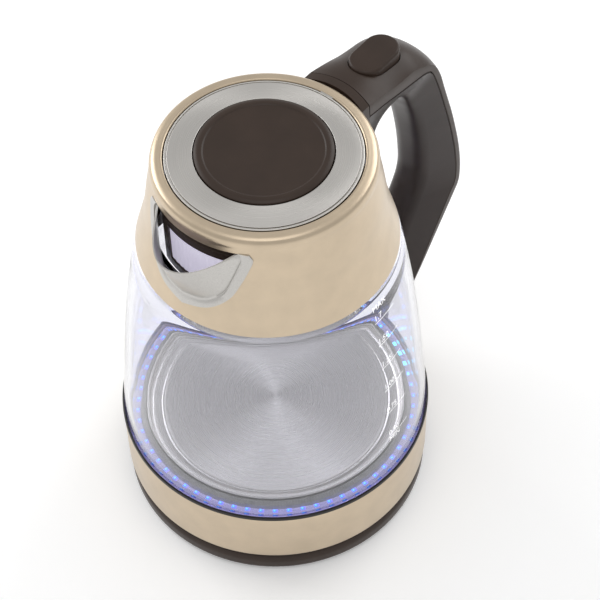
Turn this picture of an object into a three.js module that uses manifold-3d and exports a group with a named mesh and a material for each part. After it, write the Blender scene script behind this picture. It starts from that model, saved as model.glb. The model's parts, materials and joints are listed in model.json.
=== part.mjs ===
// Cordless glass electric kettle on its round power base. Millimetres, +Z up.
// Origin: middle of the power base, on the table. The handle points along +X, the spout along -X.
import * as THREE from 'three';
import { mergeVertices } from 'three/addons/utils/BufferGeometryUtils.js';
import Module from 'manifold-3d';

const wasm = await Module();
wasm.setup();

// ---- driving dimensions ----
const GAP = 0.35;                 // between neighbours that touch
const SHEET = 1.1;                // thickness of the gold sheet
const GLASS = 3;                  // wall of the jug
const WALL = 2.6;                 // wall of the handle shells

const BASE = { radius: 78.1, rim: 12, floor: 10, recess: 72.5, under: 8.2 };
const TOWER = { radius: 13.5, top: 23.8 };
const BAND = { low: 15, high: 49.5, radius: 78.7, sheet: 0.8 };
const PLATE = { top: 46, flat: 61.5, rim: 66.3, rimTop: 52 };
const LIGHT = { inner: 70.6, outer: 74.2, low: 41.4, high: 48 };
const JUG = { foot: 44, shoulder: 175.5, top: 190 };
const COLLAR = { low: 176.8, top: 231, mouth: 45.4 };
// outer side of the gold collar as [radius, height], from its lower edge to the mouth
const COLLAR_OUTSIDE = [
  [61.4, COLLAR.low], [56.2, 196], [53.7, 211], [51.5, 223], [51.1, 226.6], [49.9, 229.1], [47.8, 230.4],
  [46.4, COLLAR.top], [COLLAR.mouth, 230.6],
];
const LID = { radius: 43.9, top: 230.7, disc: 31.3, discTop: 233.3, skirt: 42.4, low: 216 };
const LID_AXIS = { x: 44.65, z: 230.4 };
const SPOUT = { low: 184.8, high: 221.5, half: 28.6, sheet: 0.9 };
const SPOUT_RIM = { tip: 68.2, tipZ: 216, half: 23, cornerZ: 221, depth: 22.2 };
const FILTER = { inner: 48.4, outer: 50.4, low: 187, high: 218.6, half: 21, bar: 3.4 };
const HANDLE = { half: 16, inner: 8, bevel: 2, flare: 0.08, flareFrom: 53, flareTo: 88 };
// side view of the handle as [x, height]: three lines from the collar to the foot, station by station
const HANDLE_OUTER = [
  [46, 230.2], [56, 229.6], [66, 228.6], [80, 226.2], [92.4, 224.2], [101.8, 219.3], [109.2, 212],
  [115, 201.8], [119.1, 188],
  [122.9, 177], [127, 165], [131.9, 148], [135.6, 134], [138, 121], [139, 110], [138.4, 100.5], [134, 93],
  [120, 76.2], [105, 58.5], [86, 36], [66, 12],
];
const HANDLE_SEAM = [
  [46, 222.5], [56, 219.5], [65.5, 217.8], [77.5, 215], [89.5, 212.5], [98.5, 210.8], [104.6, 207], [109, 197.6],
  [113.2, 186.5], [117, 175], [121, 162.8], [125.7, 146.4], [129, 132.5], [131, 120.5], [131.6, 110.8], [130.6, 104.8],
  [126.6, 99.2], [113.5, 79.5], [99.8, 59], [82, 37.6], [64, 16],
];
const HANDLE_INNER = [
  [58, 168], [65.5, 179], [70.5, 190.5], [77.1, 196.2], [87, 196.6], [93, 192.8], [96.5, 187.5], [99, 181.5],
  [101.2, 175.8], [103.7, 168], [106.1, 158.5], [108.8, 144.5], [110.4, 131.5], [110.8, 122], [109.3, 115],
  [106.6, 109.5], [103.2, 103.5], [94.5, 88], [86.5, 70], [77.5, 52], [62, 32],
];
const BUTTON = { x: 79.8, radius: 8.7, straight: 10.5, low: 223.4, high: 229.8 };
const LATCH = { tip: 42.9, end: 84, half: 3, low: 217.2, high: 220 };
const SWITCH_AXIS = { x: 68, z: 22 };
const PIN = 1.5;
const FOOT_SCREW = { z: 36, head: 2.4, shank: 1.35, from: 74.35 };
const HANDLE_SCREWS = { y: [-9, 9], z: 203.5 };
const BASE_SCREW_CIRCLE = 50;
const COVER_SCREW_CIRCLE = 42;
const FOOT_CIRCLE = 62;
const LED_FIRST = -0.545;         // angle of the first lamp, beside the handle
const BUSH = { z: 6.3, hole: 3.9, body: 3.6, bore: 2.9, flange: 4.2 };

// facets of a large, middle, small and tiny round piece
const LARGE = 32;
const MIDDLE = 20;
const SMALL = 12;
const TINY = 8;

// ---- materials ----
const finish = (color, roughness, metalness, opacity = 1) => new THREE.MeshStandardMaterial({
  color, roughness, metalness, opacity, transparent: opacity < 1,
});
const BROWN = finish(0x4e433e, 0.42, 0);
const GRIP_BROWN = finish(0x5d5350, 0.5, 0);
const GOLD = finish(0xc4b19c, 0.34, 0.9);
const STEEL = finish(0xb9b7b2, 0.3, 1);
const BRASS = finish(0xb8954f, 0.35, 1);
const ALUMINIUM = finish(0xa9acb0, 0.45, 1);
const CLEAR = finish(0xeef1f6, 0.04, 0, 0.3);
const BLACK = finish(0x1c1a19, 0.5, 0);
const RUBBER = finish(0x26211f, 0.85, 0);
const SILICONE = finish(0xbcb9b4, 0.6, 0);
const MESH = finish(0xe4e2ea, 0.7, 0);
const BLUE = finish(0x3f6bff, 0.3, 0);
const BOARD = finish(0x2f5a41, 0.6, 0);

// ---- solids from outlines ----
function solidOf(geometry) {
  const bare = new THREE.BufferGeometry();
  bare.setAttribute('position', geometry.attributes.position);
  bare.setIndex(geometry.index);
  const merged = mergeVertices(bare, 1e-4);
  const index = merged.index.array;
  const kept = [];
  for (let i = 0; i < index.length; i += 3) {
    const [a, b, c] = [index[i], index[i + 1], index[i + 2]];
    if (a !== b && b !== c && c !== a) kept.push(a, b, c);
  }
  const vertProperties = merged.attributes.position.array;
  return new wasm.Manifold(new wasm.Mesh({ numProp: 3, vertProperties, triVerts: Uint32Array.from(kept) }));
}

function geometryOf(solid) {
  const { vertProperties, triVerts } = solid.getMesh();
  const geometry = new THREE.BufferGeometry();
  geometry.setAttribute('position', new THREE.BufferAttribute(vertProperties, 3));
  geometry.setIndex(new THREE.BufferAttribute(triVerts, 1));
  return geometry;
}

function cut(body, ...tools) {
  return geometryOf(tools.reduce((rest, tool) => rest.subtract(solidOf(tool)), solidOf(body)));
}

const join = (...pieces) => geometryOf(pieces.map(solidOf).reduce((whole, piece) => whole.add(piece)));
const common = (body, tool) => geometryOf(solidOf(body).intersect(solidOf(tool)));

// solid of revolution about Z; outline of [radius, height], anticlockwise, open only where it meets the axis
function turned(outline, sides = LARGE) {
  const loop = outline[0][0] === 0 ? outline : [...outline, outline[0]];
  const points = loop.map(([radius, height]) => new THREE.Vector2(radius, height));
  return new THREE.LatheGeometry(points, sides).rotateX(Math.PI / 2);
}

function rod(radius, low, high, sides = SMALL) {
  return turned([[0, low], [radius, low], [radius, high], [0, high]], sides);
}

const tube = (inner, outer, low, high, sides = LARGE) =>
  turned([[inner, low], [outer, low], [outer, high], [inner, high]], sides);

function block([x0, x1], [y0, y1], [z0, z1]) {
  return new THREE.BoxGeometry(x1 - x0, y1 - y0, z1 - z0).translate((x0 + x1) / 2, (y0 + y1) / 2, (z0 + z1) / 2);
}

// outline of [x, z] points extruded to both sides of the plane y = 0
function slab(points, half, bevel = 0) {
  const shape = points instanceof THREE.Shape ? points : new THREE.Shape(points);
  const options = {
    depth: 2 * (half - bevel), bevelEnabled: bevel > 0, bevelThickness: bevel, bevelSize: bevel * 0.7,
    bevelOffset: -bevel * 0.7, bevelSegments: 1, curveSegments: 8, steps: 1,
  };
  return new THREE.ExtrudeGeometry(shape, options).rotateX(Math.PI / 2).translate(0, half - bevel, 0);
}

const alongX = (geometry, y, z) => geometry.rotateY(Math.PI / 2).translate(0, y, z);
const alongY = (geometry, x, z) => geometry.rotateX(-Math.PI / 2).translate(x, 0, z);
const points = (...pairs) => pairs.map(([x, y]) => new THREE.Vector2(x, y));

// copies of an angle round the kettle's axis
const angles = (count, first = 0) => Array.from({ length: count }, (_, i) => first + (i * 2 * Math.PI) / count);
const polar = (radius, angle) => [radius * Math.cos(angle), radius * Math.sin(angle)];

const kettle = new THREE.Group();
function add(group, name, geometry, material) {
  const mesh = new THREE.Mesh(geometry, material);
  mesh.name = name;
  group.add(mesh);
}

// ---- power base ----
function baseHousing() {
  const { radius, rim, floor, recess, under } = BASE;
  const shell = turned([
    [16.2, under], [71, under], [71.8, 10.2], [76, 10.2], [76.2, 1.6], [77.2, 1.6], [radius, 3.2], [radius, 9.4],
    [77, 11.4], [75.6, rim], [73.6, rim], [recess, floor], [18, floor], [18, 12.5], [16.2, 12.5],
  ]);
  const bosses = angles(3, Math.PI / 3).map((angle) => {
    const boss = turned([[1.8, 3.6], [3.6, 3.6], [3.6, 9], [0, 9], [0, 8], [1.8, 8]], TINY);
    return boss.translate(...polar(BASE_SCREW_CIRCLE, angle), 0);
  });
  return cut(join(shell, ...bosses), alongX(rod(BUSH.hole, 74, 82), 0, BUSH.z));
}

function baseBottomCover() {
  const plate = turned([[0, 0], [24, 0], [25, 1.4], [75.2, 1.4], [75.8, 2], [75.8, 3.2], [0, 3.2]]);
  const seats = angles(3, Math.PI / 3).map((angle) => {
    const seat = turned([[0, 1], [3.4, 1], [3.4, 2.3], [1.8, 2.3], [1.8, 4], [0, 4]], TINY);
    return seat.translate(...polar(BASE_SCREW_CIRCLE, angle), 0);
  });
  return cut(plate, ...seats);
}

// screw standing up from its head at z = 0
function screw(head, shank, headHeight, length) {
  return turned([[0, 0], [head, 0], [head, headHeight], [shank, headHeight], [shank, length], [0, length]], TINY);
}

function cordBush() {
  const { body, bore, flange, z } = BUSH;
  const outline = [[bore, 75.9], [body, 75.9], [body, 78.45], [flange, 78.45], [flange, 80], [bore, 80]];
  return alongX(turned(outline, SMALL), 0, z);
}

function baseConnector() {
  const { radius, top } = TOWER;
  return turned([
    [0, 6.6], [15.8, 6.6], [15.8, 11.6], [radius, 12.2], [radius, top - 0.8], [radius - 0.8, top], [10.2, top],
    [10.2, 11], [6.6, 11], [6.6, 21], [3.2, 21], [3.2, 12], [0, 12],
  ], MIDDLE);
}

function buildPowerBase() {
  const group = new THREE.Group();
  add(group, 'base_housing', baseHousing(), BROWN);
  add(group, 'base_bottom_cover', baseBottomCover(), BLACK);
  add(group, 'base_connector', baseConnector(), BLACK);
  add(group, 'contact_pin', rod(2, 12.3, 20), BRASS);
  add(group, 'contact_ring_inner', tube(6.9, 7.5, 11.3, 20, SMALL), BRASS);
  add(group, 'contact_ring_outer', tube(9.3, 9.85, 11.3, 20, SMALL), BRASS);
  add(group, 'cord_bush', cordBush(), BLACK);
  angles(4, Math.PI / 4).forEach((angle, i) => {
    const foot = turned([[0, 0], [6.2, 0], [7, 0.5], [7, 1.05], [0, 1.05]], SMALL);
    add(group, `rubber_foot_${i + 1}`, foot.translate(...polar(FOOT_CIRCLE, angle), 0), RUBBER);
  });
  angles(3, Math.PI / 3).forEach((angle, i) => {
    const piece = screw(3, 1.4, 0.7, 6.4).translate(...polar(BASE_SCREW_CIRCLE, angle), 1.3);
    add(group, `base_screw_${i + 1}`, piece, STEEL);
  });
  return group;
}

// ---- kettle base: everything under the jug ----
function kettleSocket() {
  return turned([
    [14.2, 13], [18.5, 13], [18.5, 27], [0, 27], [0, 25], [2.35, 25], [2.35, 14.5], [2.9, 14.5], [2.9, 25], [8, 25],
    [8, 13.5], [8.8, 13.5], [8.8, 25], [14.2, 25],
  ], MIDDLE);
}

// slot for the switch lever through the rear of the kettle base
const leverSlot = () => block([71.2, 82], [-8.3, 8.3], [14, 26]);

function bottomCover() {
  const shell = turned([
    [19.2, 13.3], [59.5, 13.3], [60.5, 10.35], [70.6, 10.35], [70.8, 15.3], [77.3, 15.3], [77.3, 20], [75.7, 20],
    [75.7, 17], [69.2, 17], [69.2, 12.2], [61.8, 12.2], [60.2, 15], [19.2, 15],
  ]);
  const ears = [-1, 1].map((side) => block([65, 71], [side * 8 - 1, side * 8 + 1], [14.2, 25]));
  const places = angles(3).map((angle) => polar(COVER_SCREW_CIRCLE, angle));
  const screwHoles = places.map((place) => rod(1.8, 12, 16, TINY).translate(...place, 0));
  const pinHole = alongY(rod(PIN + 0.3, -12, 12, TINY), SWITCH_AXIS.x, SWITCH_AXIS.z);
  return cut(join(shell, ...ears), leverSlot(), pinHole, ...screwHoles);
}

function baseBand() {
  const { low, high, radius, sheet } = BAND;
  const shell = turned([
    [77.7, low], [radius - 0.3, low], [radius, low + 1], [radius, high - 0.5], [radius - 0.3, high],
    [radius - sheet, high],
  ]);
  return cut(shell, leverSlot(), footHole(FOOT_SCREW.shank + GAP));
}

// hole of the screw that holds the handle's foot
const footHole = (radius) => alongX(rod(radius, 70, 90, TINY), 0, FOOT_SCREW.z);

function carrierRing() {
  const ring = turned([
    [75.5, 23.5], [77.3, 23.5], [77.3, 43.6], [74.9, 43.6], [74.9, 37.4], [58, 37.4], [58, 35.6], [75.5, 35.6],
  ]);
  const headRoom = block([70, 75.65], [-2.8, 2.8], [FOOT_SCREW.z - 2.8, FOOT_SCREW.z + 2.8]);
  return cut(ring, leverSlot(), headRoom, footHole(FOOT_SCREW.shank + GAP));
}

function heaterPlate() {
  const { top, flat, rim, rimTop } = PLATE;
  return turned([
    [0, top - 1], [flat, top - 1], [65.3, top + 0.2], [rim, top + 2.5], [rim, rimTop], [65.4, rimTop],
    [65.2, top + 2.9], [64.3, top + 1], [flat, top], [0, top],
  ]);
}

// clad tube bent to an open ring under the plate
function heatingElement() {
  const ring = { radius: 44, tube: 3.4, sides: 8, steps: 26, z: 37.6, opening: Math.PI / 4 };
  class Arc extends THREE.Curve {
    getPoint(t) {
      const angle = ring.opening + t * (2 * Math.PI - 2 * ring.opening);
      return new THREE.Vector3(ring.radius * Math.cos(angle), ring.radius * Math.sin(angle), ring.z);
    }
  }
  const outline = angles(ring.sides).map((angle) => new THREE.Vector2(...polar(ring.tube, angle)));
  const section = new THREE.Shape(outline);
  return new THREE.ExtrudeGeometry(section, { extrudePath: new Arc(), steps: ring.steps, bevelEnabled: false });
}

function controlBody() {
  return turned([
    [19.3, 19.5], [22, 19.5], [24, 28], [24, 40.2], [0, 40.2], [0, 27.5], [19.3, 27.5],
  ], MIDDLE);
}

function switchLever() {
  const outline = new THREE.Shape(points(
    [52, 21.6], [65, 19.4], [68, 18.8], [72, 18.6], [79, 16.9], [91.5, 16.9], [93, 18.6], [91.5, 21], [79, 21.2],
    [72, 24.4], [68, 25.2], [65, 24.6], [52, 24],
  ));
  outline.holes.push(new THREE.Path(angles(TINY).map((angle) => {
    const [x, z] = polar(PIN + 0.3, angle);
    return new THREE.Vector2(SWITCH_AXIS.x + x, SWITCH_AXIS.z + z);
  })));
  return slab(outline, 6.4);
}

function buildKettleBase() {
  const group = new THREE.Group();
  add(group, 'kettle_socket', kettleSocket(), BLACK);
  add(group, 'bottom_cover', bottomCover(), BROWN);
  add(group, 'base_band', baseBand(), GOLD);
  add(group, 'carrier_ring', carrierRing(), BLACK);
  add(group, 'heater_plate', heaterPlate(), STEEL);
  add(group, 'heat_spreader', rod(52, 41.6, 44.6, MIDDLE), ALUMINIUM);
  add(group, 'heating_element', heatingElement(), ALUMINIUM);
  add(group, 'control_body', controlBody(), BLACK);
  add(group, 'bimetal_disc', rod(5.5, 40.5, 41.1, SMALL).translate(13, 0, 0), BRASS);
  add(group, 'heater_seal', tube(PLATE.rim + 0.5, LIGHT.inner - 0.4, 44.5, 51), SILICONE);
  add(group, 'light_ring', tube(LIGHT.inner, LIGHT.outer, LIGHT.low, LIGHT.high), CLEAR);
  add(group, 'led_board', tube(62, 74.2, 37.8, 39, MIDDLE), BOARD);
  angles(3, LED_FIRST).forEach((angle, i) => {
    const led = block([71, 73.6], [-1.8, 1.8], [39.35, 41]).rotateZ(angle);
    add(group, `led_${i + 1}`, led, BLUE);
  });
  add(group, 'switch_lever', switchLever(), BROWN);
  add(group, 'switch_pin', alongY(rod(PIN, -9.5, 9.5, TINY), SWITCH_AXIS.x, SWITCH_AXIS.z), STEEL);
  angles(3).forEach((angle, i) => {
    const piece = screw(3, 1.45, 1.1, 12).translate(...polar(COVER_SCREW_CIRCLE, angle), 11.8);
    add(group, `cover_screw_${i + 1}`, piece, STEEL);
  });
  return group;
}

// ---- jug and collar ----
function glassJug() {
  const { foot, shoulder, top } = JUG;
  return turned([
    [77.2, foot], [77.55, 52], [74.9, 84], [69.4, 132], [61.7, shoulder], [59.9, shoulder + 1], [57.2, 179.4],
    [56, 182], [54.6, top], [54.6 - GLASS, top], [53, 181.4], [54.6, 177.8], [58, 174.4], [69.4 - GLASS, 132],
    [74.9 - GLASS, 84], [77.55 - GLASS, 52], [77.6 - GLASS, foot],
  ]);
}

function collarShell() {
  const outline = [
    ...COLLAR_OUTSIDE, [COLLAR.mouth, 229.6], [46.7, 229.7], [48.7, 228.3], [49.9, 226], [50.4, 222.8],
    [53.7 - SHEET, 210.8], [56.2 - SHEET, 195.8], [61.4 - SHEET, COLLAR.low],
  ];
  const screwHoles = HANDLE_SCREWS.y.map((y) => alongX(rod(1.9, 45, 60, TINY), y, HANDLE_SCREWS.z));
  return cut(turned(outline), spoutWindow(0), latchSlot([48, 56]), ...screwHoles);
}

const latchSlot = (x) => block(x, [-LATCH.half - GAP, LATCH.half + GAP], [LATCH.low - GAP, LATCH.high + GAP]);

// half of the spout's outline on the collar: distance from the middle and height
function spoutOutline(inset) {
  const { low, high, half } = SPOUT;
  const corners = points([0, low], [13, 188.6], [21.2, 196], [25.4, 206], [27.8, 214.5], [half, high]);
  const side = new THREE.SplineCurve(corners).getPoints(10);
  return side.map((point) => new THREE.Vector2(point.x * (1 - inset / half), point.y + inset * (1 - point.x / half)));
}

// window of the spout, cut along X through the front of the collar
function spoutWindow(inset) {
  const right = spoutOutline(inset);
  const left = right.slice(1).reverse().map((point) => new THREE.Vector2(-point.x, point.y));
  const shape = new THREE.Shape([...left, ...right]);
  const prism = new THREE.ExtrudeGeometry(shape, { depth: 45, bevelEnabled: false });
  return prism.rotateX(Math.PI / 2).rotateZ(Math.PI / 2).translate(-85, 0, 0);
}

function collarRadius(z) {
  const above = COLLAR_OUTSIDE.findIndex(([, height]) => height >= z);
  const [r0, z0] = COLLAR_OUTSIDE[Math.max(above - 1, 0)];
  const [r1, z1] = COLLAR_OUTSIDE[Math.max(above, 1)];
  return r0 + ((r1 - r0) * (z - z0)) / (z1 - z0);
}

// steel scoop: rows run from the root in the collar's window out to the pouring rim
function spoutLip() {
  const rows = [0, 0.14, 0.55, 1];
  const half = spoutOutline(GAP + 0.1);
  const mirrored = half.slice(1).reverse().map((point) => new THREE.Vector2(-point.x, point.y));
  const root = [...mirrored, ...half];
  const columns = root.length;
  const place = (column, row, inset) => {
    const { x: y, y: z } = root[column];
    const share = y / SPOUT.half;
    const sink = 1.2 * (1 - Math.abs(share) ** 6);
    const from = new THREE.Vector3(-Math.sqrt(Math.max(collarRadius(z) ** 2 - y * y, 0)) + sink, y, z);
    const { tip, tipZ, cornerZ, depth } = SPOUT_RIM;
    const lift = Math.abs(share) ** 3;
    const to = new THREE.Vector3(depth * share * share - tip, share * SPOUT_RIM.half, tipZ + (cornerZ - tipZ) * lift);
    const point = from.lerp(to, rows[row]);
    point.x += inset * 0.85 * (1 - Math.abs(share) * 0.7);
    point.y -= inset * share * 0.9;
    point.z += inset * 0.45 * (1 - rows[row]) * (1 - Math.abs(share));
    return point;
  };
  const vertices = [];
  for (const inset of [0, SPOUT.sheet]) {
    for (let row = 0; row < rows.length; row += 1) {
      for (let column = 0; column < columns; column += 1) vertices.push(...place(column, row, inset).toArray());
    }
  }
  return closedSheet(vertices, columns, rows.length);
}

// joins an outer and an inner grid of points into one closed body
function closedSheet(vertices, columns, rows) {
  const at = (layer, row, column) => (layer * rows + row) * columns + column;
  const index = [];
  const quad = (a, b, c, d) => index.push(a, b, c, a, c, d);
  for (let row = 0; row < rows - 1; row += 1) {
    for (let column = 0; column < columns - 1; column += 1) {
      quad(at(0, row, column), at(0, row + 1, column), at(0, row + 1, column + 1), at(0, row, column + 1));
      quad(at(1, row, column), at(1, row, column + 1), at(1, row + 1, column + 1), at(1, row + 1, column));
    }
    const last = columns - 1;
    quad(at(0, row, 0), at(1, row, 0), at(1, row + 1, 0), at(0, row + 1, 0));
    quad(at(0, row, last), at(0, row + 1, last), at(1, row + 1, last), at(1, row, last));
  }
  for (let column = 0; column < columns - 1; column += 1) {
    const top = rows - 1;
    quad(at(0, 0, column), at(0, 0, column + 1), at(1, 0, column + 1), at(1, 0, column));
    quad(at(0, top, column), at(1, top, column), at(1, top, column + 1), at(0, top, column + 1));
  }
  const geometry = new THREE.BufferGeometry();
  geometry.setAttribute('position', new THREE.Float32BufferAttribute(vertices, 3));
  geometry.setIndex(index);
  return geometry;
}

// brown ring inside the collar: bore for the lid, saddles of the hinge pin, gap at the spout
function collarInnerRing() {
  const ring = turned([
    [45.6, 207], [52.4, 207], [49.8, 222.5], [49.4, 224.5], [44.9, 224.5], [44.9, 219],
  ]);
  const saddles = [-2.75, 2.75].map((y) => block([44.3, 46.4], [y - 0.85, y + 0.85], [223, 229.5]));
  const spoutGap = block([-60, -30], [-23, 23], [200, 219.3]);
  return cut(join(ring, ...saddles), spoutGap, latchSlot([40, 56]));
}

function filterFrame() {
  const { inner, outer, low, high, half, bar } = FILTER;
  const sector = common(tube(inner, outer, low, high), block([-60, -30], [-half, half], [low - 1, high + 1]));
  return cut(sector, block([-60, -30], [-half + bar, half - bar], [low + bar, high - bar]));
}

function filterMesh() {
  const { inner, outer, low, high, half, bar } = FILTER;
  const side = half - bar - GAP;
  const middle = (inner + outer) / 2;
  const sheet = tube(middle - 0.3, middle + 0.3, low, high);
  return common(sheet, block([-60, -30], [-side, side], [low + bar + GAP, high - bar - GAP]));
}

function buildJug() {
  const group = new THREE.Group();
  add(group, 'glass_jug', glassJug(), CLEAR);
  add(group, 'clamp_ring', turned([[77.9, 49.85], [78.7, 49.85], [78.5, 51.3], [77.95, 51.3]]), BLACK);
  add(group, 'upper_seal', turned([[56.9, 181.5], [58.6, 181.5], [57.7, 185], [56.1, 185]]), SILICONE);
  add(group, 'collar_shell', collarShell(), GOLD);
  add(group, 'spout_lip', spoutLip(), STEEL);
  add(group, 'collar_inner_ring', collarInnerRing(), BROWN);
  add(group, 'filter_frame', filterFrame(), BROWN);
  add(group, 'filter_mesh', filterMesh(), MESH);
  return group;
}

// ---- lid ----
function lidBody() {
  const { skirt, low } = LID;
  return turned([
    [skirt - 2, low], [skirt, low], [skirt, 226.8], [43.4, 227.4], [43.4, 229.65], [0, 229.65], [0, 227.6],
    [skirt - 2, 227.6],
  ]);
}

function lidDisc() {
  const { disc, discTop } = LID;
  return turned([
    [0, 230], [disc, 230], [disc, discTop - 1], [disc - 0.9, discTop], [28.6, discTop], [27.8, discTop - 0.7],
    [0, discTop - 0.7],
  ]);
}

function buildLid() {
  const { radius, top, disc, skirt, low } = LID;
  const group = new THREE.Group();
  const ring = [
    [disc + 0.9, 230], [radius, 230], [radius, top - 0.3], [radius - 0.4, top], [disc + 0.9, top + 1.4],
  ];
  add(group, 'lid_ring', turned(ring), STEEL);
  add(group, 'lid_disc', lidDisc(), BROWN);
  add(group, 'lid_body', lidBody(), BROWN);
  add(group, 'lid_seal', tube(skirt + 0.3, 44.4, 221.5, 224), SILICONE);
  add(group, 'lid_inner_plate', rod(skirt - 2.4, low, low + 0.8, LARGE), STEEL);
  add(group, 'lid_hinge_tongue', block([43.8, 45.15], [-1.5, 1.5], [224.9, 229.55]), STEEL);
  add(group, 'lid_hinge_pin', alongY(rod(0.5, -3.4, 3.4, TINY), LID_AXIS.x, LID_AXIS.z), STEEL);
  return group;
}

// ---- handle ----
const along = (pairs, steps) => new THREE.SplineCurve(points(...pairs)).getPoints(steps);
const STATIONS = HANDLE_SEAM.length + 5;
const OUTER_LINE = along(HANDLE_OUTER, STATIONS);
const SEAM_LINE = along(HANDLE_SEAM, STATIONS);
const INNER_LINE = along(HANDLE_INNER, STATIONS);

function shifted(line, distance) {
  return line.map((point, i) => {
    const before = line[Math.max(i - 1, 0)];
    const after = line[Math.min(i + 1, line.length - 1)];
    const run = after.clone().sub(before).normalize();
    return new THREE.Vector2(point.x + run.y * distance, point.y - run.x * distance);
  });
}

const between = (upper, lower) => [...lower, ...upper.slice().reverse()];

// widens the arm towards the collar
function flared(geometry) {
  const { flare, flareFrom, flareTo } = HANDLE;
  const position = geometry.attributes.position;
  for (let i = 0; i < position.count; i += 1) {
    const share = THREE.MathUtils.clamp((flareTo - position.getX(i)) / (flareTo - flareFrom), 0, 1);
    const high = position.getZ(i) > 150 ? 1 : 0;
    position.setY(i, position.getY(i) * (1 + flare * share * high));
  }
  return geometry;
}

// what the arm and the foot must stay clear of: junction piece above, band below
function bodyClearance() {
  return turned([
    [0, 0], [79.1, 0], [79.1, 52], [70, 60], [66, 170], [65.6, 179], [60.8, 196], [57.5, 214], [56.7, 229],
    [56.7, 240], [0, 240],
  ]);
}

// stadium outline of the button and of its opening, seen from above
function stadium(radius) {
  const shape = new THREE.Shape();
  const reach = BUTTON.straight / 2;
  shape.absarc(BUTTON.x + reach, 0, radius, -Math.PI / 2, Math.PI / 2);
  shape.absarc(BUTTON.x - reach, 0, radius, Math.PI / 2, (3 * Math.PI) / 2);
  return shape;
}

function handleCover() {
  const { half, bevel } = HANDLE;
  const body = flared(slab(between(OUTER_LINE, SEAM_LINE), half, bevel));
  const hollow = slab(between(shifted(OUTER_LINE, WALL), shifted(SEAM_LINE, 3)), half - WALL);
  const opening = new THREE.ExtrudeGeometry(stadium(BUTTON.radius + 0.4), {
    depth: 20, bevelEnabled: false, curveSegments: 8,
  }).translate(0, 0, 215);
  return cut(body, hollow, opening, bodyClearance());
}

// closed body between two lines of the side view, each with its own half width
function tapered(upper, lower, upperHalf, lowerHalf) {
  const vertices = [];
  upper.forEach((high, i) => {
    const low = lower[i];
    vertices.push(high.x, -upperHalf, high.y, low.x, -lowerHalf, low.y);
    vertices.push(low.x, lowerHalf, low.y, high.x, upperHalf, high.y);
  });
  const index = [];
  const quad = (a, b, c, d) => index.push(a, b, c, a, c, d);
  for (let i = 0; i < upper.length - 1; i += 1) {
    for (let side = 0; side < 4; side += 1) {
      const [a, b] = [i * 4 + side, i * 4 + ((side + 1) % 4)];
      quad(a, b, b + 4, a + 4);
    }
  }
  const last = (upper.length - 1) * 4;
  quad(3, 2, 1, 0);
  quad(last, last + 1, last + 2, last + 3);
  const geometry = new THREE.BufferGeometry();
  geometry.setAttribute('position', new THREE.Float32BufferAttribute(vertices, 3));
  geometry.setIndex(index);
  return geometry;
}

function handleGrip() {
  const { half, inner } = HANDLE;
  const body = flared(tapered(shifted(SEAM_LINE, GAP), INNER_LINE, half, inner));
  const room = tapered(shifted(SEAM_LINE, -3), shifted(INNER_LINE, -WALL), half - WALL, inner - WALL);
  const hollow = common(room, block([74, 150], [-20, 20], [72, 230]));
  const boltPath = block([45, 72], [-LATCH.half - GAP, LATCH.half + GAP], [LATCH.low - GAP, 230]);
  const springSeat = block([69.8, 92], [-10.5, 10.5], [210, 240]);
  const screwHoles = HANDLE_SCREWS.y.map((y) => alongX(rod(1.6, 50, 73, TINY), y, HANDLE_SCREWS.z));
  const holes = [boltPath, springSeat, footHole(FOOT_SCREW.shank + GAP), ...screwHoles];
  return cut(body, hollow, bodyClearance(), ...holes);
}

// brown piece that seats the arm on the collar
function junctionPiece() {
  const outline = [
    [65.1, 178], [65.2, 179.5], [60.4, 196], [57.1, 214], [56.3, 229.2], [52.3, 229.8], [51.75, 229.3], [51.8, 227.2],
    [51.95, 223], [54.15, 211], [56.7, 196], [61.7, 178],
  ];
  const sector = common(turned(outline), block([30, 80], [-17.6, 17.6], [170, 235]));
  const screwHoles = HANDLE_SCREWS.y.map((y) => alongX(rod(1.9, 45, 70, TINY), y, HANDLE_SCREWS.z));
  return cut(sector, latchSlot([45, 70]), ...screwHoles);
}

function releaseButton() {
  const { radius, low, high } = BUTTON;
  const cap = new THREE.ExtrudeGeometry(stadium(radius), {
    depth: high - low - 1.4, bevelThickness: 1.4, bevelSize: 1.1, bevelOffset: -1.1, bevelSegments: 1,
    curveSegments: 8,
  }).translate(0, 0, low);
  const flat = common(cap, block([50, 110], [-20, 20], [low, high + 1]));
  const tip = block([BUTTON.x + 1, BUTTON.x + 2.2], [-2, 2], [220.8, low + 1]);
  return join(flat, tip);
}

// bolt with an eye that the button's tip draws back
function latchBolt() {
  const { tip, end, half, low, high } = LATCH;
  const { x, straight } = BUTTON;
  const eye = block([x - straight / 4 + 0.2, x + straight / 4], [-half + 0.8, half - 0.8], [low - 1, high + 1]);
  return cut(block([tip, end], [-half, half], [low, high]), eye);
}

// compression spring standing on z = 0
function coilSpring(radius, wire, height, turns) {
  class Helix extends THREE.Curve {
    getPoint(t) {
      const [x, y] = polar(radius, t * turns * 2 * Math.PI);
      return new THREE.Vector3(x, y, wire + t * (height - 2 * wire));
    }
  }
  const section = new THREE.Shape(angles(5).map((angle) => new THREE.Vector2(...polar(wire, angle))));
  return new THREE.ExtrudeGeometry(section, { extrudePath: new Helix(), steps: turns * 8, bevelEnabled: false });
}

// bent leaf that lifts the lid when the latch lets go
function lidSpring() {
  return slab(points([33, 214.2], [43.4, 210.2], [45, 210.2], [45, 211], [43.6, 211], [33, 215]), 4);
}

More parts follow.
